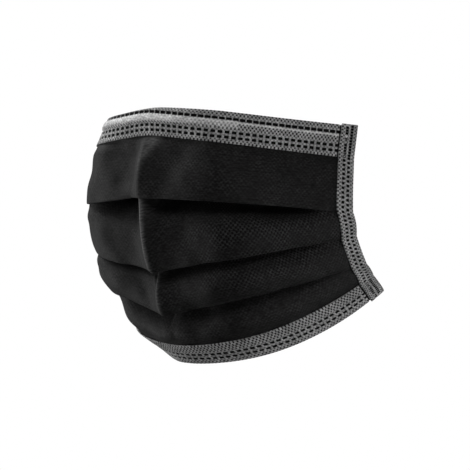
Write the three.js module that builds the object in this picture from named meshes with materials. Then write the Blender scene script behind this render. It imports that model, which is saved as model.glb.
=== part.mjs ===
// A disposable pleated face mask, open and curved as it is when worn.
// Millimetres, +Z up. The front faces -Y and +X is the wearer's left.
// The origin is where the bridge of the nose touches the inside of the top hem.
//
// The cloth is described by a reference sheet: the smooth sheet that passes through
// the outermost line of every fold. A place on it is given by
//   down  how far down the cloth the place is, between the lines of the table LINES
//   side  how far across it is, from 0 on the centre line to 1 at the side edge
// and every wall of the mask lies at some depth behind that sheet.
import * as THREE from 'three';

// ---------------------------------------------------------------- driving dimensions
const HALF_LENGTH = 99;       // cloth from the centre line to a side edge
const WALL = 1;               // thickness of the cloth, and of the binding tape
const GAP = 0.3;              // clearance between pieces, and between folded layers
const SIDE_TAPE = 8;          // width of the side bindings
const SIDE_ROOM = 0.4;        // extra room for the folded layers inside the side bindings
const WELD_LENGTH = 9;        // flat stretch at each end of a side binding, for an ear loop
const SEAT_BELOW_EDGE = 6;    // the nose touches this far below the top edge
const CREASE_REACH = 7;       // how far the centre crease spreads across the front
const WIRE = { half: 43, width: 3.2, thick: 1, below: 3.2 };

// How far a pleat covers the next panel: on the centre line, and from a share of the way
// to the side edges outwards.
const PLEAT = { centre: 3.2, side: 9, from: 0.75 };

// The share of a panel over which it comes forward again from under the lip above it.
const RISE = { centre: 0.9, side: 0.28, from: 0.8 };

// The layers lose a share of their thickness towards the welded side edges.
const PRESSED = { loss: 0.3, start: 0.75, end: 0.9 };

const HALF_STATIONS = 17;     // sections of the cloth from the centre line to a side edge
const SIDE_STEPS = 26;        // lengths of a side binding between its flat ends
const SHEET_STEPS = 48;       // steps in which the sheet is walked out from the centre line

// The lines that run across the mask, from its top edge to its bottom edge.
//   down          place of the line along the cloth, counted from the top edge
//   y, z          the line on the centre line, from the top edge
//   front, cheek  its heading in plan beside the centre line and at the cheek, in degrees:
//                 0 runs straight across the face and 90 straight back
//   turn, spread  where it turns from one heading to the other, and over what share
//   endZ, power   its height at the side edge, and how late it gets there
//   crease        how far the centre crease stands forward of the line
const LINES = [
  { name: 'top_edge', down: 0, y: 0, z: 0, front: 6, cheek: 63.5, turn: 0.28, spread: 0.24,
    endZ: -7, power: 1.1, crease: 0 },
  { name: 'top_hem', down: 14, y: 0.1, z: -11.5, front: 4, cheek: 64.5, turn: 0.36, spread: 0.2,
    endZ: -21.3, power: 0.92, crease: 0 },
  { name: 'lip_1', down: 41, y: -4.7, z: -38.2, front: 9, cheek: 64, turn: 0.42, spread: 0.22,
    endZ: -45, power: 1.6, crease: 0.6 },
  { name: 'lip_2', down: 64, y: 4.5, z: -70.5, front: 2, cheek: 65.5, turn: 0.42, spread: 0.23,
    endZ: -54.6, power: 0.9, crease: 1.6 },
  { name: 'lip_3', down: 82, y: 11.8, z: -89.4, front: 5, cheek: 64.5, turn: 0.4, spread: 0.23,
    endZ: -67.2, power: 1, crease: 1.4 },
  { name: 'bottom_hem', down: 97, y: 19.7, z: -103, front: 10, cheek: 62, turn: 0.35, spread: 0.25,
    endZ: -72.4, power: 1.7, crease: 0.3 },
  { name: 'bottom_edge', down: 108, y: 26, z: -112, front: 23, cheek: 58, turn: 0.28, spread: 0.28,
    endZ: -79.5, power: 1.75, crease: 0 },
];

// The panels between the lines. ridge and flank are how far the middle of a panel bulges
// outwards, on the centre line and beside it.
const PANELS = [
  { name: 'brow', from: 'top_hem', to: 'lip_1', ridge: 1.5, flank: 0.2 },
  { name: 'nose', from: 'lip_1', to: 'lip_2', ridge: 3.4, flank: 0.9 },
  { name: 'mouth', from: 'lip_2', to: 'lip_3', ridge: 0.5, flank: 3.4 },
  { name: 'chin', from: 'lip_3', to: 'bottom_hem', ridge: 1, flank: 1.1 },
];
const RIDGE_SHARE = 0.16;     // how far the ridge reaches across the cloth
const WALLS_IN_PANEL = 4;     // walls down a panel, from the line above it

const DOWN = Object.fromEntries(LINES.map((line) => [line.name, line.down]));
const CLEAR = WALL + GAP;
const HEM_EASE = 7;           // the cloth sinks under a hem over this much of its height
const SIDE_EASE = 0.06;       // and under a side binding over this share of its length
const START_IN = 0.08;        // the lines leave the centre line square to it over this share

// ---------------------------------------------------------------- the reference sheet
const SHAPE = ['y', 'z', 'front', 'cheek', 'turn', 'spread', 'endZ', 'power', 'crease'];
const lineBetween = new THREE.CubicInterpolant(
  LINES.map((line) => line.down),
  LINES.flatMap((line) => SHAPE.map((column) => line[column])),
  SHAPE.length,
);
const { degToRad, lerp, smoothstep } = THREE.MathUtils;

// The point of the reference sheet at a place, walked out from the centre line.
function sheetPoint(down, side) {
  const [y, z, front, cheek, turn, spread, endZ, power, crease] = lineBetween.evaluate(down);
  const step = side / SHEET_STEPS;
  const point = new THREE.Vector3(0, y, z);
  for (let i = 0; i < SHEET_STEPS; i += 1) {
    const middle = (i + 0.5) * step;
    const startIn = smoothstep(middle, 0, START_IN);
    const turned = smoothstep(middle, turn - spread, turn + spread);
    const heading = degToRad(front * startIn + (cheek - front) * turned);
    const nextZ = z + (endZ - z) * ((i + 1) * step) ** power;
    const plan = Math.sqrt((HALF_LENGTH * step) ** 2 - (nextZ - point.z) ** 2);
    point.set(point.x + plan * Math.cos(heading), point.y + plan * Math.sin(heading), nextZ);
  }
  point.y -= crease * Math.exp(-point.x / CREASE_REACH);
  return point;
}

// The direction into the mask, square to the reference sheet.
function inward(down, side) {
  const stepDown = 0.5;
  const stepSide = 0.01;
  const first = Math.max(side - stepSide, 0);
  const last = Math.min(side + stepSide, 1);
  const upper = Math.max(down - stepDown, 0);
  const lower = Math.min(down + stepDown, DOWN.bottom_edge);
  const across = sheetPoint(down, last).sub(sheetPoint(down, first));
  const along = sheetPoint(lower, side).sub(sheetPoint(upper, side));
  const normal = across.cross(along);
  if (side === 0) normal.x = 0;
  return normal.normalize();
}

// A point at a depth behind the reference sheet. Negative side is the wearer's right.
function behind(down, side, depth) {
  const half = Math.abs(side);
  const point = sheetPoint(down, half).addScaledVector(inward(down, half), depth);
  if (side < 0) point.x = -point.x;
  return point;
}

// ---------------------------------------------------------------- how the cloth lies
// How much of a tape's cover there is: 1 under a tape and 0 on the open panels.
function hemCover(down) {
  const top = 1 - smoothstep(down, DOWN.top_hem, DOWN.top_hem + HEM_EASE);
  const bottom = smoothstep(down, DOWN.bottom_hem - HEM_EASE, DOWN.bottom_hem);
  return top + bottom;
}

function sideCover(side) {
  const tapeStart = 1 - (SIDE_TAPE + GAP) / HALF_LENGTH;
  return smoothstep(side, tapeStart - SIDE_EASE, tapeStart);
}

function layerThickness(side) {
  return WALL * (1 - PRESSED.loss * smoothstep(side, PRESSED.start, PRESSED.end));
}

function layerGap(side) {
  return (GAP * layerThickness(side)) / WALL;
}

// How far behind the sheet the front of a panel lies. Below a lip it starts two layers
// back and comes forward: over the whole panel on the centre line, at once at the sides.
function panelDepth(panel, down, side) {
  const share = (down - DOWN[panel.from]) / (DOWN[panel.to] - DOWN[panel.from]);
  const layers = panel.from === 'top_hem' ? 0 : 2;
  const rise = lerp(RISE.centre, RISE.side, smoothstep(side, 0, RISE.from));
  const behindLip = layers * (layerThickness(side) + layerGap(side));
  const folded = behindLip * (1 - smoothstep(share, 0, rise));
  const covered = Math.max(CLEAR * hemCover(down), (CLEAR + SIDE_ROOM) * sideCover(side));
  const height = lerp(panel.flank, panel.ridge, Math.exp(-((side / RIDGE_SHARE) ** 2)));
  const bulge = height * Math.sin(Math.PI * share) * (1 - side * side);
  return folded + covered - bulge;
}

// The place that lies some millimetres above a place on the sheet, reached in short steps.
function above(down, side, millimetres) {
  const steps = 8;
  let place = down;
  for (let i = 0; i < steps; i += 1) {
    const perUnit = sheetPoint(place - 1, side).distanceTo(sheetPoint(place, side));
    place -= millimetres / steps / perUnit;
  }
  return place;
}

// The cloth at one station, as pairs of points on its outer and its inner face.
function clothSection(side) {
  const half = Math.abs(side);
  const thick = layerThickness(half);
  const gap = layerGap(half);
  const pairs = [];
  const pair = (outerDown, outerDepth, innerDown, innerDepth) => {
    pairs.push([behind(outerDown, side, outerDepth), behind(innerDown, side, innerDepth)]);
  };
  const wall = (down, depth) => pair(down, depth, down, depth + thick);

  wall(WIRE.below + WIRE.width + GAP, CLEAR);
  for (const panel of PANELS) {
    const end = DOWN[panel.to];
    for (let i = 0; i < WALLS_IN_PANEL; i += 1) {
      const down = lerp(DOWN[panel.from], end, i / WALLS_IN_PANEL);
      wall(down, panelDepth(panel, down, half));
    }
    if (panel.to.startsWith('lip')) {
      const overlap = lerp(PLEAT.centre, PLEAT.side, smoothstep(half, 0, PLEAT.from));
      const lipInside = above(end, half, thick);
      const tuck = above(end, half, overlap);
      const tuckInside = above(end, half, overlap - thick);
      const lip = panelDepth(panel, end, half);
      const top = panelDepth(panel, tuck, half);
      const halfway = (tuck + end) / 2;
      const middle = panelDepth(panel, halfway, half);
      // the lip, turning back under the panel
      pair(end, lip, lipInside, lip + thick);
      pair(end, lip + 2 * thick + gap, lipInside, lip + thick + gap);
      pair(halfway, middle + 2 * thick + gap, halfway, middle + thick + gap);
      // the tuck, turning down again behind the panel
      pair(tuckInside, top + 2 * thick + gap, tuck, top + thick + gap);
      pair(tuckInside, top + 2 * thick + 2 * gap, tuck, top + 3 * thick + 2 * gap);
      wall(halfway, middle + 2 * thick + 2 * gap);
    }
  }
  wall(DOWN.bottom_hem, CLEAR);
  wall((DOWN.bottom_hem + DOWN.bottom_edge) / 2, CLEAR);
  wall(DOWN.bottom_edge - 2 * CLEAR, CLEAR);
  return pairs;
}

// ---------------------------------------------------------------- closed bodies
// A closed wall from stations, each a list of pairs of points on its two faces.
function closedWall(stations) {
  const count = stations[0].length;
  const ring = 2 * count;
  const positions = [];
  for (const pairs of stations) {
    const outer = pairs.map(([point]) => point);
    const inner = pairs.map(([, point]) => point).reverse();
    for (const { x, y, z } of [...outer, ...inner]) positions.push(x, y, z);
  }
  const index = [];
  const point = (i) => new THREE.Vector3().fromArray(positions, 3 * i);
  // Each quad is split along its shorter diagonal, the same one on both faces of a wall.
  const quad = (a, b, c, d) => {
    const first = point(a).distanceTo(point(c));
    const second = point(b).distanceTo(point(d));
    if (first < second) index.push(a, b, c, a, c, d);
    else index.push(b, c, d, b, d, a);
  };
  for (let i = 0; i < stations.length - 1; i += 1) {
    for (let j = 0; j < ring; j += 1) {
      const next = (j + 1) % ring;
      quad(i * ring + j, i * ring + next, (i + 1) * ring + next, (i + 1) * ring + j);
    }
  }
  const last = (stations.length - 1) * ring;
  for (let j = 0; j < count - 1; j += 1) {
    const inner = ring - 1 - j;
    quad(j, inner, inner - 1, j + 1);
    quad(last + j, last + j + 1, last + inner - 1, last + inner);
  }
  const geometry = new THREE.BufferGeometry();
  geometry.setAttribute('position', new THREE.Float32BufferAttribute(positions, 3));
  geometry.setIndex(index);
  geometry.computeVertexNormals();
  return geometry;
}

// Values from one end to the other in equal steps.
function spaced(from, to, steps) {
  return Array.from({ length: steps + 1 }, (_, i) => lerp(from, to, i / steps));
}

// A tape folded round an edge: its front leg, the fold at the edge and its back leg.
// place(across, depth) gives a point, with across 0 at the folded edge.
function foldedTape(width, thickness, place) {
  const faces = [[width, 0], [width / 2, 0], [0, 0], [0, thickness], [width / 2, thickness],
    [width, thickness]];
  const linings = [[width, WALL], [width / 2, WALL], [WALL, WALL], [WALL, thickness - WALL],
    [width / 2, thickness - WALL], [width, thickness - WALL]];
  return faces.map((face, i) => [place(...face), place(...linings[i])]);
}

// ---------------------------------------------------------------- the pieces
const clothEnd = 1 - (CLEAR + SIDE_ROOM) / HALF_LENGTH;
const hemEnd = 1 - (SIDE_TAPE + GAP) / HALF_LENGTH;
const hemThickness = 2 * CLEAR + WALL;
const sideStack = 3 * layerThickness(1) + 2 * layerGap(1);
const sideThickness = 2 * (CLEAR + SIDE_ROOM) + sideStack;

const hemStations = spaced(-hemEnd, hemEnd, 2 * HALF_STATIONS);
const underTape = (hemEnd + clothEnd) / 2;
const bodyStations = [-clothEnd, -underTape, ...hemStations, underTape, clothEnd];

function bodyGeometry() {
  return closedWall(bodyStations.map(clothSection));
}

function topHemGeometry() {
  return closedWall(hemStations.map((side) => (
    foldedTape(DOWN.top_hem, hemThickness, (across, depth) => behind(across, side, depth))
      .reverse()
  )));
}

function bottomHemGeometry() {
  const width = DOWN.bottom_edge - DOWN.bottom_hem;
  return closedWall(hemStations.map((side) => (
    foldedTape(width, hemThickness, (across, depth) => (
      behind(DOWN.bottom_edge - across, side, depth)))
  )));
}

// One section of a side binding, with its folded edge on the side edge of the sheet.
function sideSection(sign, down) {
  return foldedTape(SIDE_TAPE, sideThickness, (across, depth) => (
    behind(down, sign * (1 - across / HALF_LENGTH), depth)));
}

// The same section moved along the side edge, which leaves the tape between them flat.
function slidSection(sign, from, to) {
  const slide = behind(to, sign, 0).sub(behind(from, sign, 0));
  return sideSection(sign, from).map((pair) => pair.map((point) => point.add(slide)));
}

// The ends of a side binding are flat, where an ear loop is welded on. The left binding
// is built upwards and the right one downwards, so both face outwards.
function sideBindingGeometry(sign) {
  const upper = WELD_LENGTH;
  const lower = DOWN.bottom_edge - WELD_LENGTH;
  const stations = [
    slidSection(sign, lower, DOWN.bottom_edge),
    ...spaced(lower, upper, SIDE_STEPS).map((down) => sideSection(sign, down)),
    slidSection(sign, upper, 0),
  ];
  return closedWall(sign < 0 ? stations.reverse() : stations);
}

function noseWireGeometry() {
  const stations = hemStations.filter((side) => Math.abs(side) * HALF_LENGTH <= WIRE.half);
  return closedWall(stations.map((side) => (
    [WIRE.below, WIRE.below + WIRE.width].map((down) => (
      [behind(down, side, CLEAR), behind(down, side, CLEAR + WIRE.thick)]))
  )));
}

const cloth = { color: 0x1b1b1c, roughness: 0.85, metalness: 0 };
const tape = { color: 0x4a4a4c, roughness: 0.75, metalness: 0 };
const coatedWire = { color: 0xd9d9d6, roughness: 0.4, metalness: 0.2 };

const PIECES = [
  { name: 'mask_body', geometry: bodyGeometry(), finish: cloth },
  { name: 'top_hem', geometry: topHemGeometry(), finish: tape },
  { name: 'bottom_hem', geometry: bottomHemGeometry(), finish: tape },
  { name: 'side_binding_left', geometry: sideBindingGeometry(1), finish: tape },
  { name: 'side_binding_right', geometry: sideBindingGeometry(-1), finish: tape },
  { name: 'nose_wire', geometry: noseWireGeometry(), finish: coatedWire },
];

// The group stands so that its origin is on the inside of the top hem.
const group = new THREE.Group();
group.position.set(0, -hemThickness, SEAT_BELOW_EDGE);
for (const { name, geometry, finish } of PIECES) {
  const mesh = new THREE.Mesh(geometry, new THREE.MeshStandardMaterial(finish));
  mesh.name = name;
  group.add(mesh);
}

export default group;
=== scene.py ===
import math

import bpy
import numpy as np
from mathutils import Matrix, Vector


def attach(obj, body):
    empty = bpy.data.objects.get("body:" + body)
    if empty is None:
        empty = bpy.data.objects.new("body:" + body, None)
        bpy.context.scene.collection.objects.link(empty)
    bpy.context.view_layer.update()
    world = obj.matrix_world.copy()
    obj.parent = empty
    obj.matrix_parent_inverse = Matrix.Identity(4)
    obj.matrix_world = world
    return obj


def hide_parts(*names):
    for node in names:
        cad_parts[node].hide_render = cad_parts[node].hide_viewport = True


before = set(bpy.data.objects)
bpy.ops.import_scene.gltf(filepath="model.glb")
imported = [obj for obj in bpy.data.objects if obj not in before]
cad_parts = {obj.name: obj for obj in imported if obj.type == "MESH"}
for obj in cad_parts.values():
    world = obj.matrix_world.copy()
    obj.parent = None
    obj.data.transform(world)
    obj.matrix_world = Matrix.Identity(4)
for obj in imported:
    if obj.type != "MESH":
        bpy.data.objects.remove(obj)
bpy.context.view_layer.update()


# ------------------------------------------------------------------ the pleated cloth
# Three plies of polypropylene nonwoven laid together as one black cloth, with a fine
# diamond emboss. It is folded into three downward pleats, which the side tapes hold
# shut, and then packed folded in half, which leaves a crease down the middle.

# A place on the mask is given by "down", how far it is along the folded cloth from the
# top edge, and "side", the share of the way from the centre line to a side edge, below 0
# on the wearer's right. "half" is side without its sign.
HALF_LENGTH = 0.099  # cloth from the centre line to a side edge
CLOTH_THICKNESS = 0.0005
TOP_EDGE = np.array([0, -0.0036, 0.006])  # outer top edge on the centre line
CREASE_REACH = 0.007  # how far the centre crease spreads
CREASE_ROUND = 0.0007  # how softly its crest is rounded
START_IN = 0.08  # share over which a line leaves the centre line square to it

# The lines that cross the mask, on the outermost line of each fold. "down" is counted
# along the cloth and "edge" along the folded side edge. y and z place the line on the
# centre line, and its heading in plan goes from "front" to "cheek" degrees about the
# share "turn", over "spread". It ends at end_z, sooner or later by "power", after a
# round top of "round". It stands forward by "crease" in the middle, and on the wearer's
# right by "out" and lower by "drop".
LINES = {
    # down, edge, y, z, front, cheek, turn, spread, end_z, power, round, crease, out, drop
    "top edge": (
        0, 0, 0, 0.0020, 6, 62.3, 0.28, 0.24, -0.007, 0.79, 0.12, 0, 0.0010, 0.0002),
    "top hem": (
        0.014, 0.0162, 0.0003, -0.0115, 4, 64, 0.36, 0.2, -0.0213, 0.92, 0.08, 0.0002, 0.0011, 0.0002),
    "first lip": (
        0.041, 0.0410, -0.0041, -0.0382, 9, 62.2, 0.42, 0.22, -0.0443, 1.6, 0.02, 0.0012, 0.0013, 0.0013),
    "second lip": (
        0.064, 0.0525, 0.0059, -0.0705, 2, 66.8, 0.42, 0.23, -0.0546, 0.9, 0.006, 0.003, 0.0018, 0),
    "third lip": (
        0.082, 0.0683, 0.013, -0.0894, 5, 64.9, 0.4, 0.23, -0.0672, 1, 0.006, 0.0026, 0.0040, -0.0028),
    "bottom hem": (
        0.097, 0.0786, 0.0199, -0.103, 10, 62, 0.35, 0.25, -0.0724, 1.7, 0.02, 0.0005, 0.0012, 0),
    "bottom edge": (
        0.108, 0.0930, 0.026, -0.1115, 23, 58, 0.28, 0.28, -0.0795, 1.9, 0.04, 0, 0.0002, -0.0016),
}
DOWN = {name: row[0] for name, row in LINES.items()}
PANEL_FLOW = 0.12  # how smoothly the panels run into each other
RIGHT_START, RIGHT_AT, RIGHT_REACH = 0.15, 0.36, 0.24  # where "out" and "drop" take effect

# The panels between the lines. On the centre line a panel bulges by "ridge", and its
# crease stands out by "crest" besides, which is rounded by "round" and falls off
# "steeper" times as fast on the wearer's right. "left of ridge" and "right of ridge" are
# the bulges just beside it and "flank" is the one over the cheeks, of which the right
# cheek keeps the share "right flank" and gets "right bulge" (height, place down the
# panel, reach). Just below a lip the cloth falls back by "hollow", of which the middle
# has "hollow in the middle" times as much and the right "hollow on the right" times, and
# there it reaches "right reach" times as far down.
PANELS = [
    {
        "from": "top hem", "to": "first lip",
        "ridge": 0.0009, "crest": 0.0016, "round": 0.0016, "steeper": 1.7,
        "left of ridge": -0.0016, "right of ridge": -0.0032,
        "flank": 0.0012, "right flank": 0.6, "right bulge": (-0.0014, 0.5, 0.22),
    },
    {
        "from": "first lip", "to": "second lip",
        "ridge": 0.0018, "crest": 0.0028, "round": 0.0007, "steeper": 2.8,
        "left of ridge": -0.0010, "right of ridge": -0.0014,
        "flank": 0.0018, "right flank": 0.35, "right bulge": (0.0010, 0.22, 0.13),
        "hollow": 0.0095, "hollow in the middle": 0, "hollow on the right": 1.25, "right reach": 1,
    },
    {
        "from": "second lip", "to": "third lip",
        "ridge": 0.0005, "crest": 0.0016, "round": 0.0007, "steeper": 2.8,
        "left of ridge": 0.0010, "right of ridge": 0.0003,
        "flank": 0.0025, "right flank": 1, "right bulge": (0.0010, 0.2, 0.13),
        "hollow": 0.0052, "hollow in the middle": 0.5, "hollow on the right": 1.5, "right reach": 0.36,
    },
    {
        "from": "third lip", "to": "bottom hem",
        "ridge": 0.001, "crest": -0.0018, "round": 0.0007, "steeper": 1,
        "left of ridge": 0, "right of ridge": 0,
        "flank": 0.0011, "right flank": 0.1, "right bulge": (-0.0012, 0.4, 0.25),
        "hollow": 0.0056, "hollow in the middle": 1.1, "hollow on the right": 1.5, "right reach": 1,
    },
]

# A pleat on the centre line and at the sides: how far its lip covers the next panel,
# the space its fold takes at the lip and at the tuck behind, and the share of the next
# panel over which the cloth comes forward again.
PLEAT = {
    "overlap": (0.0032, 0.009),
    "lip": (0.0010, 0.0007),
    "tuck": (0.0022, 0.0007),
    "forward": (0.9, 0.3),
}
OVERLAP_WIDE = 0.75  # the overlap is as at the sides from this share on,
PLEAT_WIDE = 0.8  # and the rest of the pleat from this one
LEAST_SPACE = CLOTH_THICKNESS + 0.00003  # between the middles of two layers
PRESSED_FROM, PRESSED_TO = 0.70, 0.93  # the layers close up between these shares,
PRESSED_BY = 0.3  # by this much of their space
SIDE_TAPE = 0.008  # width of a side tape
TAPE_THICKNESS = 0.0004


def smooth(share):
    share = np.clip(share, 0, 1)
    return share * share * (3 - 2 * share)


def between(ends, share):
    return ends[0] + (ends[1] - ends[0]) * share


def rise(value, start, end):
    """A smooth rise from 0 at start to 1 at end."""
    return smooth((value - start) / (end - start))


def hump(value, middle, reach, power=2):
    """A hump, 1 high at its middle, and flatter on top at a higher power."""
    return np.exp(-(((value - middle) / reach) ** power))


def line_shapes(down, flow):
    """The columns of LINES after edge, on curves through its rows. At a flow of 0.5 the
    curves run smoothly through each row, and nearer 0 they are straighter between rows."""
    table = np.array(list(LINES.values()), float)
    at, rows = table[:, 1], table[:, 2:]
    ends = np.vstack([2 * table[0] - table[1], table, 2 * table[-1] - table[-2]])
    down = np.interp(down, ends[:, 0], ends[:, 1])
    slope = np.diff(rows, axis=0) / np.diff(at)[:, None]
    beyond = np.vstack([slope[:1], slope, slope[-1:]])
    i = np.clip(np.searchsorted(at, down, side="right") - 1, 0, len(at) - 2)
    length = (at[i + 1] - at[i])[:, None]
    p = (down - at[i])[:, None] / length
    leaving = between((slope, beyond[:-2]), flow)[i]
    arriving = between((slope, beyond[2:]), flow)[i]
    return (
        (2 * p**3 - 3 * p**2 + 1) * rows[i]
        + (p**3 - 2 * p**2 + p) * length * leaving
        + (3 * p**2 - 2 * p**3) * rows[i + 1]
        + (p**3 - p**2) * length * arriving
    )


def walked_sheet(down, side, creased=1, right=0, flow=PANEL_FLOW):
    """Points of the smooth sheet through the folds, walked out from the centre line."""
    (y, z, front, cheek, turn, spread, end_z, power, rounded, crease, out, drop) = (
        line_shapes(down, flow).T[..., None]
    )
    middle = (side[1:] + side[:-1]) / 2
    turned = rise(middle, turn - spread, turn + spread)
    heading = np.radians(front * rise(middle, 0, START_IN) + (cheek - front) * turned)
    past_round = (np.hypot(side, rounded) - rounded) / (np.hypot(1, rounded) - rounded)
    height = z + (end_z - z) * past_round**power
    run = np.sqrt((HALF_LENGTH * np.diff(side)) ** 2 - np.diff(height, axis=1) ** 2)
    start = np.zeros_like(y)
    x = np.hstack([start, np.cumsum(run * np.cos(heading), axis=1)])
    y = y + np.hstack([start, np.cumsum(run * np.sin(heading), axis=1)])
    away = np.hypot(x, CREASE_ROUND) - CREASE_ROUND
    y = y - creased * crease * np.exp(-away / CREASE_REACH)
    points = np.stack([x, y, height], axis=-1) + TOP_EDGE
    there = right * rise(side, 0, RIGHT_START) * hump(side, RIGHT_AT, RIGHT_REACH)
    points -= inward_of(points) * (out * there)[..., None]
    points[..., 2] -= drop * there
    return points


def inward_of(points):
    """Directions into the mask, square to a grid of points that runs down and across."""
    along = np.gradient(points, axis=0)
    across = np.gradient(points, axis=1)
    normal = np.cross(across, along)
    return normal / np.linalg.norm(normal, axis=-1, keepdims=True)


# The smooth sheet is worked out once, out to a little past its edges, and looked up below.
SHEET_DOWN = np.linspace(-0.003, 0.111, 457)
SHEET_SIDE = np.linspace(0, 1.03, 413)
LEFT_SHEET = walked_sheet(SHEET_DOWN, SHEET_SIDE)
RIGHT_SHEET = walked_sheet(SHEET_DOWN, SHEET_SIDE, right=1)
INWARD = inward_of(walked_sheet(SHEET_DOWN, SHEET_SIDE, creased=0, flow=0.5))
INWARD[:, 0, 0] = 0  # on the centre line it leans to neither side


def looked_up(table, down, side):
    """Values of a table over the sheet at places down it and across it."""
    row = np.interp(down, SHEET_DOWN, np.arange(len(SHEET_DOWN)))
    column = np.interp(side, SHEET_SIDE, np.arange(len(SHEET_SIDE)))
    i = np.minimum(row.astype(int), len(SHEET_DOWN) - 2)
    j = np.minimum(column.astype(int), len(SHEET_SIDE) - 2)
    p, q = (row - i)[..., None], (column - j)[..., None]
    upper = table[i, j] * (1 - q) + table[i, j + 1] * q
    lower = table[i + 1, j] * (1 - q) + table[i + 1, j + 1] * q
    return upper * (1 - p) + lower * p


def behind(down, side, depth):
    """Points some depth behind the sheet."""
    down, side, depth = np.broadcast_arrays(down, side, depth)
    half = abs(side)
    on_right = (side < 0)[..., None]
    left, right = (looked_up(sheet, down, half) for sheet in (LEFT_SHEET, RIGHT_SHEET))
    points = np.where(on_right, right, left)
    points = points + looked_up(INWARD, down, half) * depth[..., None]
    points[..., 0] *= np.where(side < 0, -1, 1)
    return points


def unevenness(down, side):
    """Slight waves that handling leaves in the cloth, the same for every layer."""
    along = side * HALF_LENGTH
    waves = [
        # (wavelength across, wavelength down, turn, height)
        (0.034, 0.071, 0.6, 0.00028),
        (-0.021, 0.037, 2.1, 0.00018),
        (0.0135, 0.029, 4.0, 0.00010),
        (-0.0105, 0.016, 1.3, 0.00006),
    ]
    total = np.zeros(np.broadcast(down, side).shape)
    for across_wave, down_wave, turn, height in waves:
        total += height * np.sin(2 * np.pi * (along / across_wave + down / down_wave) + turn)
    return total


# Under a tape the cloth lies behind it, and just outside the tape it dips a little.
UNDER_TAPE = TAPE_THICKNESS + 0.00005
TAPE_DIP = 0.0003
HEM_EASE = 0.005  # it goes down to a hem over this distance,
SIDE_EASE = 0.04  # and to a side tape over this share


def under_tapes(down, half):
    """How far back the tapes hold the cloth's outer face."""
    tape_start = 1 - SIDE_TAPE / HALF_LENGTH
    top = 1 - rise(down, DOWN["top hem"], DOWN["top hem"] + HEM_EASE)
    bottom = rise(down, DOWN["bottom hem"] - HEM_EASE, DOWN["bottom hem"])
    hems = (UNDER_TAPE + TAPE_DIP) * (top + bottom)
    sides = TAPE_DIP * rise(half, tape_start - SIDE_EASE, tape_start)
    return np.maximum(hems, sides)


def pressed(half):
    """How far the side tapes press the layers of a pleat together."""
    return rise(half, PRESSED_FROM, PRESSED_TO)


RIGHT_CHEEK = (0.25, 0.45)  # the right cheek comes in between these shares
RIGHT_CHEEK_CLOSED = 0.4  # how far the pleats close up there


def on_right_cheek(side):
    return rise(-side, *RIGHT_CHEEK)


def fold_spaces(side):
    """The room that a fold takes at its lip, and at its tuck behind."""
    half = abs(side)
    closed = (1 - PRESSED_BY * pressed(half)) * (1 - RIGHT_CHEEK_CLOSED * on_right_cheek(side))
    across = rise(half, 0, PLEAT_WIDE)
    lip, tuck = (between(PLEAT[part], across) * closed for part in ("lip", "tuck"))
    return np.maximum(lip, LEAST_SPACE), np.maximum(tuck, LEAST_SPACE)


HOLLOW_REACH = 0.0050  # how far the hollow under a lip reaches down
HOLLOW_OPENS = (0.006, 0.041)  # it opens out and closes between these shares
HOLLOW_CLOSES = (0.66, 0.90)
TO_RIGHT = 0.03  # the wearer's right differs in full from this share on
RIGHT_HOLLOW_LOSS, RIGHT_HOLLOW_FADES = 0.6, (0.14, 0.34)


def hollow_under_lip(panel, below_lip, side):
    """How far the cloth falls back just below a lip."""
    half = abs(side)
    on_right = rise(-side, 0, TO_RIGHT)
    depth = panel["hollow"] * between((panel["hollow in the middle"], 1), rise(half, *HOLLOW_OPENS))
    depth = depth * (1 - rise(half, *HOLLOW_CLOSES)) * (1 - on_right_cheek(side))
    depth = depth * between((1, panel["hollow on the right"]), on_right)
    depth = depth * (1 - RIGHT_HOLLOW_LOSS * rise(-side, *RIGHT_HOLLOW_FADES))
    return depth * hump(below_lip, 0, HOLLOW_REACH * between((1, panel["right reach"]), on_right))


NOSE_HOLLOW = 0.0004
NOSE_HOLLOW_AT, NOSE_HOLLOW_WIDE = 0.17, 0.11  # across the mask
NOSE_HOLLOW_PLACE, NOSE_HOLLOW_SLANT, NOSE_HOLLOW_HIGH = 0.5, 1.1, 0.3  # down the panel
NOSE_HOLLOW_START, NOSE_HOLLOW_TOP = 0.06, 0.15  # it is full from these on, across and down
NOSE_HOLLOW_RIGHT = 0.3  # what the wearer's right has of it


def hollow_beside_nose(share, side):
    """The slanted dip beside the nose, some way down the first panel."""
    half = abs(side)
    slanted = hump(share, NOSE_HOLLOW_PLACE - NOSE_HOLLOW_SLANT * half, NOSE_HOLLOW_HIGH)
    slanted = slanted * rise(share, 0, NOSE_HOLLOW_TOP)
    across = hump(half, NOSE_HOLLOW_AT, NOSE_HOLLOW_WIDE) * rise(half, 0, NOSE_HOLLOW_START)
    return NOSE_HOLLOW * slanted * across * np.where(side < 0, NOSE_HOLLOW_RIGHT, 1)


CREST_REACH = 0.0034
CREST_FADE, FIRST_CREST_START = 0.5, 0.8  # powers: down a panel, and from the top hem on


def crest_of_crease(panel, share, side):
    """How far the crease stands out of a panel, besides standing forward on the lines."""
    away = (np.hypot(side * HALF_LENGTH, panel["round"]) - panel["round"]) / CREST_REACH
    away = away * np.where(side < 0, panel["steeper"], 1)
    along = (1 - share) ** CREST_FADE
    if panel["from"] == "top hem":
        along = along * share**FIRST_CREST_START
    return panel["crest"] * np.exp(-away) * along


RIDGE_REACH = 0.09
OFF_RIDGE = 0.03  # the bulges beside the ridge come in up to this share
LEFT_OF_RIDGE, LEFT_OF_RIDGE_REACH = 0.2, 0.14
RIGHT_OF_RIDGE, RIGHT_OF_RIDGE_REACH = 0.08, (0.05, 0.15)  # inwards and outwards
RIGHT_OF_RIDGE_FULL = 0.3  # full from this share of the panel's height on,
RIGHT_OF_RIDGE_FADES, RIGHT_OF_RIDGE_LOSS = 0.7, 0.4  # and less by this from that one on
FLANK_FULL = 0.5


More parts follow.
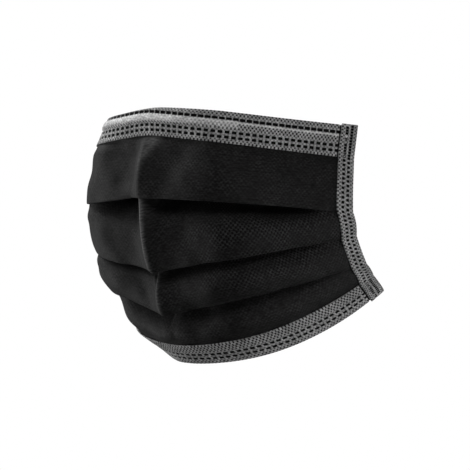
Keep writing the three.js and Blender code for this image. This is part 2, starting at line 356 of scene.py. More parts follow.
def bulge_of_panel(panel, share, side):
    """How far a panel bulges between its lines."""
    half = abs(side)
    right_cheek = on_right_cheek(side)
    off_ridge = rise(half, 0, OFF_RIDGE)
    bulge = panel["ridge"] * hump(half, 0, RIDGE_REACH)
    left = panel["left of ridge"] * hump(half, LEFT_OF_RIDGE, LEFT_OF_RIDGE_REACH)
    bulge += left * off_ridge * (side > 0)
    bulge += panel["flank"] * between((1, panel["right flank"]), right_cheek) * rise(half, 0, FLANK_FULL)
    bulge = bulge * np.sin(np.pi * share)
    reach = np.where(half < RIGHT_OF_RIDGE, *RIGHT_OF_RIDGE_REACH)
    right = panel["right of ridge"] * hump(half, RIGHT_OF_RIDGE, reach)
    right = right * rise(share, 0, RIGHT_OF_RIDGE_FULL)
    right = right * (1 - RIGHT_OF_RIDGE_LOSS * rise(share, RIGHT_OF_RIDGE_FADES, 1))
    bulge = (bulge + right * off_ridge * (side < 0)) * (1 - half**2)
    height, place, reach = panel["right bulge"]
    return bulge + height * right_cheek * (1 - pressed(half)) * hump(share, place, reach)


def panel_depth(panel, down, side):
    """Depth of the middle of the cloth down a panel, from under one lip to the next."""
    half = abs(side)
    start, end = DOWN[panel["from"]], DOWN[panel["to"]]
    share = np.clip((down - start) / (end - start), 0, 1)
    if panel["from"] == "top hem":
        depth = hollow_beside_nose(share, side)
    else:
        forward_by = between(PLEAT["forward"], rise(half, 0, PLEAT_WIDE))
        depth = sum(fold_spaces(side)) * (1 - rise(share, 0, forward_by))
        depth = depth + hollow_under_lip(panel, share * (end - start), side)
    depth = depth - crest_of_crease(panel, share, side) - bulge_of_panel(panel, share, side)
    depth = depth - unevenness(down, side) * (1 - pressed(half))
    return CLOTH_THICKNESS / 2 + under_tapes(down, half) + depth


FOLD_REACH = 0.002  # a lip's fold reaches at most this far down the cloth,
TUCK_REACH = 0.2  # and a tuck's this share of the overlap
FOLD_ROWS = 7


def turned_fold(turn_down, depth, radius, facing, most):
    """A fold of the cloth, round unless it would reach further down it than "most".
    facing is 1 where it turns at its lower end, else -1."""
    rows = []
    reach = np.minimum(radius, most)
    for angle in np.linspace(-np.pi / 2, np.pi / 2, FOLD_ROWS):
        rows.append((turn_down + facing * reach * (np.cos(angle) - 1),
                     depth + radius * (1 + np.sin(angle))))
    return rows


UNDER_TOP_HEM = np.linspace(0.0072, 0.0130, 4)  # rows in the hem, from below the wire down
UNDER_BOTTOM_HEM = np.linspace(0.0975, 0.1065, 5)
ROW_STEP = 0.0009  # between the rows of a panel
PANEL_END = 0.97  # the rows of a panel stop here and leave the rest to its lip's fold
BEHIND_LIP = np.linspace(0.2, 0.8, 4)  # rows of the layer that goes up behind a lip
BEHIND_TUCK = np.linspace(0.25, 0.8, 4)  # and of the one that comes down again


def cloth_rows(side):
    """The cloth from under the top hem to under the bottom hem, as (down, depth)."""
    lip_space, _ = fold_spaces(side)
    overlap = between(PLEAT["overlap"], rise(abs(side), 0, OVERLAP_WIDE))
    level = np.zeros_like(side)
    hidden = CLOTH_THICKNESS / 2 + UNDER_TAPE
    rows = [(level + down, level + hidden) for down in UNDER_TOP_HEM]
    for panel, below in zip(PANELS, [*PANELS[1:], None]):
        start, end = DOWN[panel["from"]], DOWN[panel["to"]]
        for share in np.linspace(0, PANEL_END, round((end - start) / ROW_STEP)):
            down = level + start + (end - start) * share
            rows.append((down, panel_depth(panel, down, side)))
        if below is None:
            continue
        lip_depth = panel_depth(panel, level + end, side)
        tuck_space = panel_depth(below, level + end, side) - lip_depth - lip_space
        rows += turned_fold(end, lip_depth, lip_space / 2, 1, FOLD_REACH)
        tuck = end - overlap
        for share in BEHIND_LIP:
            down = end + (tuck - end) * share
            rows.append((down, panel_depth(panel, down, side) + lip_space))
        tuck_depth = panel_depth(panel, tuck, side) + lip_space
        rows += turned_fold(tuck, tuck_depth, tuck_space / 2, -1, TUCK_REACH * overlap)
        for share in BEHIND_TUCK:
            down = tuck + (end - tuck) * share
            rows.append((down, panel_depth(panel, down, side) + lip_space + tuck_space))
    rows += [(level + down, level + hidden) for down in UNDER_BOTTOM_HEM]
    downs, depths = (np.array(column) for column in zip(*rows))
    return downs, depths


def closed_sheet(name, outer, inner, places, marks=None):
    """A closed mesh between two grids of points, with a map of places on the cloth.
    Each of its marks is a grid of values for both faces, or a grid for each."""
    rows, columns = outer.shape[:2]
    grid = np.arange(rows * columns).reshape(rows, columns)
    back = grid + rows * columns
    a, b, c, d = grid[:-1, :-1], grid[1:, :-1], grid[1:, 1:], grid[:-1, 1:]
    faces = [np.stack([a, b, c, d], -1).reshape(-1, 4)]
    faces.append(np.stack([a, d, c, b], -1).reshape(-1, 4) + rows * columns)
    for front_edge, back_edge in (
        (grid[0], back[0]),
        (grid[::-1, 0], back[::-1, 0]),
        (grid[-1, ::-1], back[-1, ::-1]),
        (grid[:, -1], back[:, -1]),
    ):
        rim = [front_edge[:-1], front_edge[1:], back_edge[1:], back_edge[:-1]]
        faces.append(np.stack(rim, -1))
    faces = np.vstack(faces)
    points = np.vstack([outer.reshape(-1, 3), inner.reshape(-1, 3)])
    mesh = bpy.data.meshes.new(name)
    mesh.from_pydata(points.tolist(), [], faces.tolist())
    mesh.polygons.foreach_set("use_smooth", np.ones(len(faces), bool))
    on_cloth = np.tile(places.reshape(-1, 2), (2, 1))[faces.ravel()]
    mesh.uv_layers.new(name="cloth").uv.foreach_set("vector", on_cloth.astype(np.float32).ravel())
    for mark, values in (marks or {}).items():
        both = np.broadcast_to(values, (2, rows, columns)).ravel().astype(np.float32)
        mesh.attributes.new(mark, "FLOAT", "POINT").data.foreach_set("value", both)
    mesh.validate()
    made = bpy.data.objects.new(name, mesh)
    bpy.context.scene.collection.objects.link(made)
    return made


def shader_node(tree, kind, inputs, **settings):
    """Adds a shader node and gives its first output. Inputs are values or other outputs."""
    made = tree.nodes.new("ShaderNode" + kind)
    for name, value in settings.items():
        setattr(made, name, value)
    for socket, value in inputs.items():
        if isinstance(value, bpy.types.NodeSocket):
            tree.links.new(value, made.inputs[socket])
        else:
            made.inputs[socket].default_value = value
    return made.outputs[0]


def math_node(tree, operation, *values):
    return shader_node(tree, "Math", dict(enumerate(values)), operation=operation)


def times(tree, value, factor):
    return math_node(tree, "MULTIPLY", value, factor)


def cloth_wave(tree, place, across, down):
    """A cosine over the cloth with so many waves to the metre across it and down it."""
    turn = 2 * math.pi
    angle = shader_node(tree, "VectorMath", {0: place, 1: (across * turn, down * turn, 0)},
                        operation="DOT_PRODUCT")
    # a dot product comes out of the node's second output
    angle = angle.node.outputs["Value"]
    return math_node(tree, "COSINE", angle)


def cloth_noise(tree, place, across, down, detail=3.0):
    """Noise over the cloth with so many grains to the metre across it and down it."""
    grains = (across, down, 0)
    stretched_and_highlit = shader_node(tree, "VectorMath", {0: place, 1: grains}, operation="MULTIPLY")
    return shader_node(tree, "TexNoise", {"Vector": stretched_and_highlit, "Scale": 1.0, "Detail": detail})


def ranged(tree, value, low, high, to_low, to_high, curve="LINEAR"):
    return shader_node(tree, "MapRange", {0: value, 1: low, 2: high, 3: to_low, 4: to_high},
                       interpolation_type=curve)


def from_noise(tree, noise, low, high, spread=0.2):
    """Values from low to high for a noise that stays mostly within spread of a half."""
    return ranged(tree, noise, 0.5 - spread, 0.5 + spread, low, high)


def marked(tree, mark):
    """The value of one of a mesh's marks."""
    return shader_node(tree, "Attribute", {}, attribute_name=mark).node.outputs["Fac"]


WANDER, WANDER_GRAINS = 0.0008, 260.0  # how far the emboss wanders off its pattern
CELL_EDGES = (-0.25, 0.45)  # where the walls of a cell begin and end on its waves
FIBRE_GRAINS = (420, 1350)  # to the metre across the cloth and down it
CLOUD_GRAINS = (90, 130)


def nonwoven(tree, pitch):
    """The cells that a nonwoven's emboss presses in, its loose fibres and its clouds."""
    place = shader_node(tree, "UVMap", {}, uv_map="cloth")
    wander = shader_node(tree, "TexNoise", {"Vector": place, "Scale": WANDER_GRAINS, "Detail": 1.0})
    wander = wander.node.outputs["Color"]
    wandering = shader_node(tree, "VectorMath", {0: wander, 1: (WANDER, WANDER, 0), 2: place},
                            operation="MULTIPLY_ADD")
    rows = cloth_wave(tree, wandering, 1 / pitch[0], 0)
    columns = cloth_wave(tree, wandering, 0, 1 / pitch[1])
    cells = ranged(tree, times(tree, rows, columns), *CELL_EDGES, 0, 1, "SMOOTHSTEP")
    fibres = cloth_noise(tree, place, *FIBRE_GRAINS, 5)
    clouds = cloth_noise(tree, place, *CLOUD_GRAINS, 2)
    return cells, fibres, clouds


def new_material(name):
    material = bpy.data.materials.new(name)
    material.use_nodes = True
    return material, material.node_tree, material.node_tree.nodes["Principled BSDF"]


def set_finish(surface, shine, roughness, sheen, sheen_roughness):
    """The same all over the piece."""
    surface.inputs["Specular IOR Level"].default_value = shine
    surface.inputs["Roughness"].default_value = roughness
    surface.inputs["Sheen Weight"].default_value = sheen
    surface.inputs["Sheen Roughness"].default_value = sheen_roughness


CLOTH_EMBOSS = (0.0018, 0.0021)  # pitch of the cells across the cloth and down it
CLOTH_BLACK = (0.0048, 0.0074)  # its colour, changing in clouds over the cloth
BLACK_FIBRES = (0, 2)  # times that on its darkest and palest fibres
BLACK_EMBOSS = (2.2, 0)  # times that between the cells and in them, where it is taut
TAUT_CLOUDS = (0.5, 1.5)  # and the cells show more and less in clouds
HIGHLIGHT_GREY = (0.02, 0.12)  # painted highlight added along the centre crease, more on some fibres
CLOTH_RELIEF = 0.00014
FIBRE_RELIEF = 0.65  # the fibres' height against the cells' depth


def black_cloth():
    material, tree, surface = new_material("black nonwoven")
    cells, fibres, clouds = nonwoven(tree, CLOTH_EMBOSS)
    tone = from_noise(tree, clouds, *CLOTH_BLACK)
    tone = times(tree, tone, from_noise(tree, fibres, *BLACK_FIBRES, 0.22))
    taut = times(tree, marked(tree, "taut"), from_noise(tree, clouds, *TAUT_CLOUDS, 0.15))
    cells = times(tree, math_node(tree, "SUBTRACT", cells, 0.5), taut)
    tone = times(tree, tone, ranged(tree, cells, -0.5, 0.5, *BLACK_EMBOSS))
    # a painted highlight on the centre crease, paler on some fibres
    crease_highlight = times(tree, marked(tree, "crease_highlight"), from_noise(tree, fibres, *HIGHLIGHT_GREY, 0.25))
    tone = math_node(tree, "ADD", tone, crease_highlight)
    tree.links.new(tone, surface.inputs["Base Color"])
    height = math_node(tree, "SUBTRACT", times(tree, fibres, FIBRE_RELIEF), cells)
    bump = shader_node(tree, "Bump", {"Strength": 0.7, "Distance": CLOTH_RELIEF, "Height": height})
    tree.links.new(bump, surface.inputs["Normal"])
    set_finish(surface, shine=0.085, roughness=0.7, sheen=0.012, sheen_roughness=0.45)
    return material


SLACK, TAUT = 0.3, 0.85  # how much the emboss shows
TAUT_FROM, TAUT_TO = 0.15, 0.45  # the cloth comes taut between these shares,
TAUT_ABOVE, TAUT_BELOW = 0.003, 0.012  # and over these heights at its top and bottom


def tautness(down, side):
    """The two middle panels of the wearer's left are drawn taut, and show the emboss."""
    drawn = rise(down, DOWN["first lip"], DOWN["first lip"] + TAUT_ABOVE)
    drawn = drawn * (1 - rise(down, DOWN["third lip"] - TAUT_BELOW, DOWN["third lip"]))
    return between((SLACK, TAUT), drawn * rise(side, TAUT_FROM, TAUT_TO))


# The centre crease is painted paler as a highlight: a broad soft band below the top hem and a fine line
# on its crest below the first lip.
BAND_HIGHLIGHT, BAND_WIDTH = 0.6, (0.0030, 0.0010)
BAND_OFFSET = 0.0042  # it starts so far to the wearer's left of the crest
BAND_CENTRED, BAND_NARROWED, BAND_GONE = 0.5, 0.7, 0.95  # shares of the first panel
LINE_HIGHLIGHT, LINE_WIDTH = 1.0, 0.0009
LINE_FADED, LINE_FADES, LINE_ENDS = 0.3, (0.052, 0.068), (0.078, 0.084)  # down the cloth
HIGHLIGHT_EASE = 0.05  # share of the first panel over which the band and the line begin


def painted_crease_highlight(down, side):
    """How much highlight is painted on the centre crease: a broad soft band where it leaves the top hem,
    which narrows onto its crest, and a fine line along the crest below the first lip."""
    along = side * HALF_LENGTH
    share = (down - DOWN["top hem"]) / (DOWN["first lip"] - DOWN["top hem"])
    from_band = along - BAND_OFFSET * (1 - rise(share, 0, BAND_CENTRED))
    band = BAND_HIGHLIGHT * (1 - rise(share, 0, BAND_GONE)) * rise(share, -HIGHLIGHT_EASE, 0)
    band = band * hump(from_band, 0, between(BAND_WIDTH, rise(share, 0, BAND_NARROWED)))
    line = LINE_HIGHLIGHT * rise(share, 1, 1 + HIGHLIGHT_EASE) * (1 - rise(down, *LINE_ENDS))
    line = line * between((1, LINE_FADED), rise(down, *LINE_FADES))
    return band + line * hump(along, 0, LINE_WIDTH)


PLEAT_ROWS = 20  # a lip and its tuck lie within so many rows
ROUNDING = 1e-6


def places_on_cloth(middle, down, side):
    """Where each point is along the cloth and down it, for the weave to follow the folds.

    Each panel is counted from the lip below it, and the count starts afresh at the
    hidden tucks.
    """
    steps = np.linalg.norm(np.diff(middle, axis=0, prepend=middle[:1]), axis=-1)
    walked = np.cumsum(steps, axis=0)
    centre = len(side) // 2
    lips = [np.argmax(down[:, centre] >= DOWN[panel["to"]] - ROUNDING) for panel in PANELS]
    tucks = [lip + np.argmin(down[lip:lip + PLEAT_ROWS, centre]) for lip in lips[:-1]]
    lip_below = np.array(lips)[np.searchsorted(tucks, np.arange(len(walked)), side="right")]
    walked += walked[lip_below, centre][:, None] - walked[lip_below]
    return np.stack([np.broadcast_to(side * HALF_LENGTH, walked.shape), -walked], axis=-1)


CLOTH_END = 0.983  # the cloth ends just inside the fold of the side tapes
CLOTH_COLUMNS = 281
EVENLY = 0.45  # at 1 the columns are even, and below it closer to the centre line

columns = np.linspace(-1, 1, CLOTH_COLUMNS)
cloth_side = CLOTH_END * (EVENLY * columns + (1 - EVENLY) * columns**3)
cloth_down, cloth_depth = cloth_rows(cloth_side)
cloth_middle = behind(cloth_down, cloth_side[None], cloth_depth)
half_through = inward_of(cloth_middle) * CLOTH_THICKNESS / 2
crease_highlight = painted_crease_highlight(cloth_down, cloth_side)
cloth = closed_sheet(
    "pleated_cloth", cloth_middle - half_through, cloth_middle + half_through,
    places_on_cloth(cloth_middle, cloth_down, cloth_side),
    # the highlight is painted on the crease's outer face only
    {"taut": tautness(cloth_down, cloth_side), "crease_highlight": np.stack([crease_highlight, 0 * crease_highlight])},
)
cloth.data.materials.append(black_cloth())
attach(cloth, "root")
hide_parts("mask_body")


# ------------------------------------------------------------------ the nose wire
# Two thin iron wires side by side in one white polyethylene strip. It lies loose in the
# pocket that the top tape makes over the edge of the cloth, and is bent over the nose.

WIRE_HALF_LENGTH = 0.043
WIRE_TOP, WIRE_BOTTOM = 0.0044, 0.0071
WIRE_THICKNESS, WIRE_WAIST = 0.0006, 0.0003  # at each wire, and between the two
WIRE_DEPTH = UNDER_TAPE + WIRE_THICKNESS / 2
WIRE_EDGE, WIRE_EDGE_POWER = 0.04, 0.3  # how its long edges are rounded
WIRE_ROWS, WIRE_COLUMNS = 13, 121
WIRE_WHITE = (0.62, 0.78)
STREAK_GRAINS = (60, 2500)  # to the metre along the wire and across it


def coated_wire():
    material, tree, surface = new_material("coated nose wire")
    place = shader_node(tree, "UVMap", {}, uv_map="cloth")
    streaks = cloth_noise(tree, place, *STREAK_GRAINS)
    tree.links.new(from_noise(tree, streaks, *WIRE_WHITE), surface.inputs["Base Color"])
    bump = shader_node(tree, "Bump", {"Strength": 0.3, "Distance": 0.00005, "Height": streaks})
    tree.links.new(bump, surface.inputs["Normal"])
    surface.inputs["Roughness"].default_value = 0.4
    return material


wire_share = np.linspace(0, 1, WIRE_ROWS)
wire_down = between((WIRE_TOP, WIRE_BOTTOM), wire_share)[:, None]
wire_side = np.linspace(-1, 1, WIRE_COLUMNS)[None] * WIRE_HALF_LENGTH / HALF_LENGTH
two_wires = between((WIRE_WAIST / 2, WIRE_THICKNESS / 2), abs(np.sin(2 * np.pi * wire_share)))
round_edges = np.sin(np.pi * np.clip(wire_share, WIRE_EDGE, 1 - WIRE_EDGE)) ** WIRE_EDGE_POWER
wire_half = (two_wires * round_edges)[:, None]
wire_places = np.stack(np.broadcast_arrays(wire_side * HALF_LENGTH, -wire_down), -1)
nose_wire = closed_sheet(
    "coated_nose_wire",
    behind(wire_down, wire_side, WIRE_DEPTH - wire_half),
    behind(wire_down, wire_side, WIRE_DEPTH + wire_half),
    wire_places,
)
nose_wire.data.materials.append(coated_wire())
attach(nose_wire, "root")
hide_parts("nose_wire")


# ------------------------------------------------------------------ the hem tapes
# A strip of grey spunbond is folded over each long edge of the cloth and welded through
# by rollers, which leaves rows of small dark pits. The top tape has a row of long welds
# above the nose wire, which closes its pocket, and its edge leans back over the nose.

HEM_STACK = 0.0016  # through both legs of a tape and the cloth between them
HEM_REACH = HALF_LENGTH - 0.004  # the hems run on under the side tapes
WELD_PITCH = 0.0030
WELD_DEPTH = 0.0004
WELD_SQUARENESS = 6  # a weld is a rounded rectangle, squarer at a higher power
WELD_WALL = 1.3  # its wall rises from 1 to this, in halves of its size
WELD_EDGES = np.array([-WELD_WALL, -1, 0, 1, WELD_WALL])
TAPE_PUFF = 0.00010  # how far the tape stands up away from its rows of welds
PUFF_EASE = 0.9  # how far it is held down beside a row, in heights of its welds
BACK_LEG = 0.96  # the back leg is a little shorter than the front one
TAPE_FOLD_ROWS = 9
PAST_FOLD = 1.05  # the legs start just past the fold, in its radii
LEG_STEP, ALONG_STEP = 0.0008, 0.0011  # the longest steps of a tape's mesh
LEAST_STEP = 0.00003
# A line is pressed into each hem just inside the side tapes, and painted dark there as shade of the
# tape's edge.
SIDE_CREASE = HALF_LENGTH - SIDE_TAPE - 0.0004  # just inside the side tapes
CREASE_HALF = 0.0002  # half as wide as the line that they press in
CREASE_EDGES = CREASE_HALF * np.array([-2, -1, 1, 2])
HINGE_DOWN = 0.0026  # the edge leans back from here up
LEAN = (95, 5)  # degrees on the wearer's right and left
LEAN_FROM, LEAN_TO = -0.12, 0.38  # it changes between these shares

# Over the nose wire the top tape's front leg makes a pocket, with a groove under it where
# the tape is pulled in. A narrow rib stands out under the long welds. The tape is painted
# paler over the wire, where the white wire shows through it, and a painted highlight
# brightens it further over the nose and along the rib.
POCKET_HEIGHT = 0.0007
POCKET_HALF, POCKET_SQUARENESS = 0.62, 6  # half its width, in widths of the wire
POCKET_PAST_WIRE, POCKET_EASE = 0.0006, 0.0008
GROOVE, GROOVE_DOWN, GROOVE_REACH = 0.55, 0.0077, 0.0004  # deep in heights of the pocket
RIB_HEIGHT, RIB_DOWN, RIB_WIDTH, RIB_SQUARENESS = 0.0004, 0.0047, 0.0007, 4
WIRE_STRETCH_AND_HIGHLIGHT = (0.35, 0.70)  # paler over the wire, and more over the nose as a painted highlight
NOSE_REACH = 0.022

# Rows of welds: how far each is from the folded edge, and its welds' length and height.
TOP_WELDS = [
    {"across": 0.0035, "length": 0.0022, "height": 0.0012},
    {"across": 0.0093, "length": 0.0018, "height": 0.0011},
    {"across": 0.0115, "length": 0.0018, "height": 0.0011},
]
BOTTOM_WELDS = [
    {"across": 0.0058, "length": 0.0018, "height": 0.0011},
    {"across": 0.0035, "length": 0.0018, "height": 0.0011},
]
welds_each_way = int(HEM_REACH / WELD_PITCH)
hem_centres = np.arange(-welds_each_way, welds_each_way + 1) * WELD_PITCH
for row in TOP_WELDS + BOTTOM_WELDS:
    row["centres"] = hem_centres


def filled(marks, start, end, longest):
    """The marks from start to end in order, with even steps where they are far apart."""
    marks = np.concatenate([[start, end], *marks])
    marks = np.unique(np.round(marks[(marks >= start) & (marks <= end)], 6))
    marks = marks[np.concatenate([[True], np.diff(marks) > LEAST_STEP])]
    steps = [
        np.linspace(low, high, math.ceil((high - low) / longest), endpoint=False)
        for low, high in zip(marks[:-1], marks[1:])
    ]
    return np.concatenate([*steps, marks[-1:]])


def weld_marks(centres, size):
    """Where a mesh needs lines so that welds of this size come out crisp."""
    return (np.asarray(centres)[:, None] + WELD_EDGES * size / 2).ravel()


def welded(along, across, welds):
    """How much each place is pressed into a weld, from 0 to 1."""
    most = np.zeros(np.broadcast(along, across).shape)
    for row in welds:
        centres = row["centres"]
        middles = (centres[1:] + centres[:-1]) / 2
        nearest = centres[np.searchsorted(middles, along)]
        from_centre = (abs(along - nearest) / (row["length"] / 2)) ** WELD_SQUARENESS
        from_row = (abs(across - row["across"]) / (row["height"] / 2)) ** WELD_SQUARENESS
        from_weld = (from_centre + from_row) ** (1 / WELD_SQUARENESS)
        most = np.maximum(most, 1 - rise(from_weld, 1, WELD_WALL))
    return most


def tape_section(width, stack, marks):
    """Across a folded tape: up its front leg, round the fold and down its back leg.

    Gives the distance from the folded edge, the depth from the front leg, and what
    faces front: 1 on the front leg, -1 on the back leg and between them on the fold.
    """
    radius = stack / 2
    leg = filled(marks, radius * PAST_FOLD, width, LEG_STEP)[::-1]
    turn = np.linspace(-np.pi / 2, np.pi / 2, TAPE_FOLD_ROWS)
    back_leg = radius + (leg[::-1] - radius) * BACK_LEG
    across = np.concatenate([leg, radius * (1 - np.cos(turn)), back_leg])
    depth = np.concatenate([0 * leg, radius * (1 + np.sin(turn)), 0 * leg + stack])
    facing = np.concatenate([0 * leg + 1, -np.sin(turn), 0 * leg - 1])
    return across, depth, facing


STRETCHED_FLAT = 0.7  # stretched so much, the tape shows little of its emboss


def tape_mesh(name, points, along, across, welds, raised=0, stretched_and_highlit=0, creased=0):
    """The closed mesh of a tape whose outer face is a grid of points, with its welds."""
    inward = inward_of(points)
    # the line beside the side tapes is pressed in like a weld, and painted dark as shade of the side
    # tape's edge
    weld_and_shade_line = np.maximum(welded(along, across, welds), creased)
    raised, stretched_and_highlit = (np.broadcast_to(values, weld_and_shade_line.shape) for values in (raised, stretched_and_highlit))
    puffed = np.full(weld_and_shade_line.shape, TAPE_PUFF)
    for row in welds:
        puffed *= 1 - hump(across, row["across"], PUFF_EASE * row["height"])
    outer = points + inward * (WELD_DEPTH * weld_and_shade_line - puffed - raised)[..., None]
    inner = points + inward * (TAPE_THICKNESS - raised)[..., None]
    places = np.stack(np.broadcast_arrays(along, across), -1)
    flat = np.maximum(1 - puffed / TAPE_PUFF, rise(stretched_and_highlit, 0, STRETCHED_FLAT))
    marks = {"weld_and_shade_line": weld_and_shade_line, "stretched_and_highlit": stretched_and_highlit, "flat": flat}
    return closed_sheet(name, outer, inner, places, marks)


TAPE_EMBOSS = (0.0017, 0.0020)
TAPE_GREY = (0.094, 0.148)  # its colour, changing in clouds over the tape
GREY_NET = (2.0, 0.08)  # times that between the cells and in them
GREY_FIBRES = (0.5, 1.5)  # times that on its darkest and palest fibres
FLAT_NET = 0.2  # what is left of the cells where the tape is flat
WELD_AND_SHADE_DARK = (0.1, 0.7)  # pressed in from the first to the second, the tape turns dark: in its welds, and as painted shade in the line beside the side tapes
PALE_AND_HIGHLIT = 2.8  # times its colour at full strength: paler over the wire, with a painted highlight over the nose and along the rib
TAPE_RELIEF = 0.0002
CELL_RELIEF = 0.7  # the cells' depth against the fibres' height


def grey_tape():
    material, tree, surface = new_material("grey spunbond")
    cells, fibres, clouds = nonwoven(tree, TAPE_EMBOSS)
    cells = times(tree, cells, ranged(tree, marked(tree, "flat"), 0, 1, 1, FLAT_NET))
    net = ranged(tree, cells, 0, 1, *GREY_NET)
    net = times(tree, net, from_noise(tree, fibres, *GREY_FIBRES, 0.25))
    # dark in the welds, and painted shade in the line beside the side tapes
    net = times(tree, net, ranged(tree, marked(tree, "weld_and_shade_line"), *WELD_AND_SHADE_DARK, 1, 0))
    tone = times(tree, net, from_noise(tree, clouds, *TAPE_GREY))
    # paler over the wire, and a painted highlight over the nose and along the rib
    tone = times(tree, tone, ranged(tree, marked(tree, "stretched_and_highlit"), 0, 1, 1, PALE_AND_HIGHLIT))
    tree.links.new(tone, surface.inputs["Base Color"])
    height = math_node(tree, "SUBTRACT", fibres, times(tree, cells, CELL_RELIEF))
    bump = shader_node(tree, "Bump", {"Strength": 0.8, "Distance": TAPE_RELIEF, "Height": height})
    tree.links.new(bump, surface.inputs["Normal"])
    set_finish(surface, shine=0.08, roughness=0.65, sheen=0.02, sheen_roughness=0.4)
    return material


tape_finish = grey_tape()


def finish_tape(tape, *nodes):
    tape.data.materials.append(tape_finish)
    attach(tape, "root")
    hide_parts(*nodes)


def hem_grid(welds, width):
    """Places along a hem, and across its tape with their depth and facing."""
    lengths = sorted({row["length"] for row in welds})
    along_marks = [weld_marks(hem_centres, length) for length in lengths]
    along_marks += [CREASE_EDGES + SIDE_CREASE, CREASE_EDGES - SIDE_CREASE]
    along = filled(along_marks, -HEM_REACH, HEM_REACH, ALONG_STEP)
    across_marks = [weld_marks([row["across"]], row["height"]) for row in welds]
    section = tape_section(width, HEM_STACK, across_marks)
    return along[None], *(row[:, None] for row in section)


def shaded_crease_beside_side_tapes(along):
    """Where the inner edge of a side tape presses a line into a hem, which is painted dark as that edge's
    shade.
    """
    return 1 - rise(abs(abs(along) - SIDE_CREASE), CREASE_HALF, 2 * CREASE_HALF)


def lean_back(down, depth, side):
    """Places along the hem's edge, turned back above the long welds over the nose."""
    reach = np.maximum(HINGE_DOWN - down, 0)
    angle = np.radians(between(LEAN, rise(side, LEAN_FROM, LEAN_TO)))
    return (np.where(reach > 0, HINGE_DOWN - reach * np.cos(angle), down),
            depth + reach * np.sin(angle))


def over_wire(along, across, facing):
    """How far the top tape stands out over the nose wire, and how much paler it is painted there: the
    white wire showing through, with a painted highlight over the nose and along the rib.
    """
    in_front = facing > 0.5
    end = WIRE_HALF_LENGTH + POCKET_PAST_WIRE
    pocket_half = POCKET_HALF * (WIRE_BOTTOM - WIRE_TOP)
    pocket = hump(across, (WIRE_TOP + WIRE_BOTTOM) / 2, pocket_half, POCKET_SQUARENESS)
    pocket = pocket - GROOVE * hump(across, GROOVE_DOWN, GROOVE_REACH)
    pocket = pocket * (1 - rise(abs(along), end - POCKET_EASE, end)) * in_front
    rib = hump(across, RIB_DOWN, RIB_WIDTH / 2, RIB_SQUARENESS) * in_front
    raised = POCKET_HEIGHT * pocket
    raised = np.maximum(raised, RIB_HEIGHT * rib) + np.minimum(raised, 0)
    stretch_and_highlight = between(WIRE_STRETCH_AND_HIGHLIGHT, hump(along, 0, NOSE_REACH))
    return raised, np.maximum(np.maximum(pocket, 0) * stretch_and_highlight, rib)


hem_along, *section = hem_grid(TOP_WELDS, DOWN["top hem"])
# the section is turned round, so that its front leg runs down the mask
hem_across, hem_depth, hem_facing = (row[::-1] for row in section)
leaning_down, leaning_depth = lean_back(hem_across, hem_depth, hem_along / HALF_LENGTH)
raised, stretched_and_highlit = over_wire(hem_along, hem_across, hem_facing)
top_hem = tape_mesh(
    "top_hem_tape",
    behind(leaning_down, hem_along / HALF_LENGTH, leaning_depth),
    hem_along, hem_across, TOP_WELDS, raised, stretched_and_highlit, shaded_crease_beside_side_tapes(hem_along),
)
finish_tape(top_hem, "top_hem")

hem_along, hem_across, hem_depth, _ = hem_grid(
    BOTTOM_WELDS, DOWN["bottom edge"] - DOWN["bottom hem"]
)
bottom_hem = tape_mesh(
    "bottom_hem_tape",
    behind(DOWN["bottom edge"] - hem_across, hem_along / HALF_LENGTH, hem_depth),
    hem_along, hem_across, BOTTOM_WELDS, creased=shaded_crease_beside_side_tapes(hem_along),
)
finish_tape(bottom_hem, "bottom_hem")


# ------------------------------------------------------------------ the side tapes
# The same tape folded over each short edge, over the ends of the hems and the three
# layers of every pleat, and welded in two staggered columns of pits. The welds stand
# closer where they go through the hems as well.

SIDE_PROUD = 0.00045  # the side tapes lie this far outside the hems,
SIDE_OVERHANG = 0.0001  # and run this far past them at the top and the bottom
SIDE_STACK = 0.0025
SIDE_WELD_PITCH = 0.0021  # down one column
SIDE_WELD_PITCH_ON_HEMS = 0.0014
SIDE_WELD_COLUMNS = (0.0029, 0.0052)  # from the folded edge
SIDE_WELD_LENGTH, SIDE_WELD_HEIGHT = 0.0011, 0.0012
FIRST_SIDE_WELD, LAST_SIDE_WELD = 0.001, 0.0015  # from the ends of the tape
EDGE_PLACES = 600

# distances along the tape, measured between its two columns of welds
edge_down = np.linspace(-SIDE_OVERHANG, DOWN["bottom edge"] + SIDE_OVERHANG, EDGE_PLACES)
edge_line = behind(edge_down, 1 - np.mean(SIDE_WELD_COLUMNS) / HALF_LENGTH, 0)
edge_steps = np.linalg.norm(np.diff(edge_line, axis=0), axis=-1)
edge_length = np.concatenate([[0], np.cumsum(edge_steps)])

centres = [FIRST_SIDE_WELD]
while centres[-1] < edge_length[-1] - LAST_SIDE_WELD:
    down = np.interp(centres[-1], edge_length, edge_down)
    on_hem = down < DOWN["top hem"] or down > DOWN["bottom hem"]
    centres.append(centres[-1] + (SIDE_WELD_PITCH_ON_HEMS if on_hem else SIDE_WELD_PITCH) / 2)
centres = np.array(centres)
side_welds = [
    {"across": across, "height": SIDE_WELD_HEIGHT, "length": SIDE_WELD_LENGTH, "centres": centres[i::2]}
    for i, across in enumerate(SIDE_WELD_COLUMNS)
]
side_marks = [weld_marks(centres, SIDE_WELD_LENGTH)]
side_along = filled(side_marks, 0, edge_length[-1], ALONG_STEP)[:, None]
side_down = np.interp(side_along, edge_length, edge_down)
side_across, side_depth, _ = tape_section(
    SIDE_TAPE, SIDE_STACK, [weld_marks(SIDE_WELD_COLUMNS, SIDE_WELD_HEIGHT)]
)
for name, sign in (("left", 1), ("right", -1)):
    across = side_across[None]
    points = behind(side_down, sign * (1 - across / HALF_LENGTH), side_depth[None] - SIDE_PROUD)
    if sign < 0:
        points, across = points[:, ::-1], across[:, ::-1]
    side_tape = tape_mesh("side_tape_" + name, points, side_along, across, side_welds)
    finish_tape(side_tape, "side_binding_" + name)


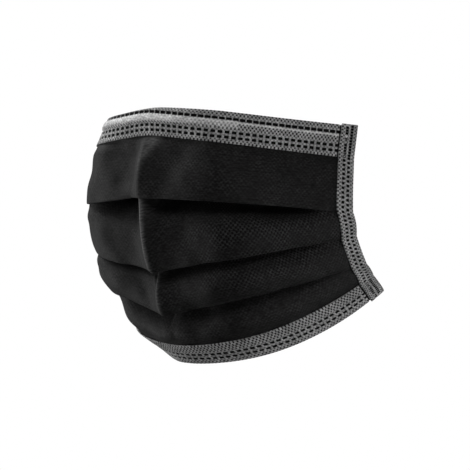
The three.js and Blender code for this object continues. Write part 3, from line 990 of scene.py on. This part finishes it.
# ------------------------------------------------------------------ the studio
# A round pale floor, far below, under a plain white backdrop. Soft round lamps stand on
# all sides of the mask, the strongest of them high up to the camera's left.

AIM = (0.0301, 0.0192, -0.0479)
CAMERA_AT = (0.4220, -0.4478, -0.0266)
LENS, SENSOR = 109.8, 36
FLOOR_HEIGHT, FLOOR_RADIUS, FLOOR_SIDES = -0.5, 1.5, 128


def aimed(thing, place, target):
    """Puts a camera or a lamp in its place, turned to its target."""
    thing.location = place
    towards = Vector(target) - Vector(place)
    thing.rotation_euler = towards.to_track_quat("-Z", "Y").to_euler()
    bpy.context.scene.collection.objects.link(thing)


camera = bpy.data.objects.new("camera", bpy.data.cameras.new("camera"))
camera.data.lens = LENS
camera.data.sensor_width = SENSOR
camera.data.clip_start = 0.01
aimed(camera, CAMERA_AT, AIM)
bpy.context.scene.camera = camera

floor_mesh = bpy.data.meshes.new("floor")
floor_round = np.linspace(0, 2 * np.pi, FLOOR_SIDES, endpoint=False)
floor_mesh.from_pydata(
    [(FLOOR_RADIUS * math.cos(a), FLOOR_RADIUS * math.sin(a), FLOOR_HEIGHT) for a in floor_round],
    [], [range(FLOOR_SIDES)],
)
floor = bpy.data.objects.new("floor", floor_mesh)
bpy.context.scene.collection.objects.link(floor)
floor_paint, _, floor_surface = new_material("pale floor")
floor_surface.inputs["Base Color"].default_value = (0.9, 0.9, 0.9, 1)
floor_surface.inputs["Roughness"].default_value = 0.9
floor_surface.inputs["Specular IOR Level"].default_value = 0.1
floor_surface.inputs["Emission Color"].default_value = (0.95, 0.95, 0.95, 1)
floor_surface.inputs["Emission Strength"].default_value = 0.9
floor_mesh.materials.append(floor_paint)
floor.visible_diffuse = False
floor.visible_glossy = False

# the white backdrop is seen, but the lamps alone light the mask
backdrop = bpy.data.worlds.new("white backdrop")
backdrop.use_nodes = True
backdrop.node_tree.nodes["Background"].inputs["Color"].default_value = (1, 1, 1, 1)
bpy.context.scene.world = backdrop
backdrop.cycles_visibility.diffuse = False
backdrop.cycles_visibility.glossy = False
bpy.context.scene.view_settings.view_transform = "Standard"

# Lamps: how far round from the camera and how far up they stand, in degrees, how wide
# they are and their power.
LAMPS = {
    # name: (round, up, size, power)
    "high key": (-120, 42, 0.45, 10.2),
    "low key": (-98, 5, 0.35, 2.7),
    "left bounce": (-110, -25, 0.35, 6.2),
    "front bounce": (20, -25, 0.35, 3.6),
    "right bounce": (80, -25, 0.35, 4.6),
    "high left": (-60, 40, 0.35, 1.5),
    "front": (18, 36, 0.35, 2.8),
    "behind": (180, 25, 0.35, 3.5),
}
LAMP_DISTANCE = 0.9
LAMPS_AIM = np.array([0, 0.03, -0.05])
camera_round = math.atan2(CAMERA_AT[0] - AIM[0], AIM[1] - CAMERA_AT[1])
for name, (degrees_round, degrees_up, size, power) in LAMPS.items():
    turn, up = camera_round + math.radians(degrees_round), math.radians(degrees_up)
    towards = np.array([math.sin(turn) * math.cos(up), -math.cos(turn) * math.cos(up), math.sin(up)])
    lamp = bpy.data.lights.new(name, "AREA")
    lamp.shape = "DISK"
    lamp.size = size
    lamp.energy = power
    aimed(bpy.data.objects.new(name, lamp), LAMPS_AIM + LAMP_DISTANCE * towards, LAMPS_AIM)
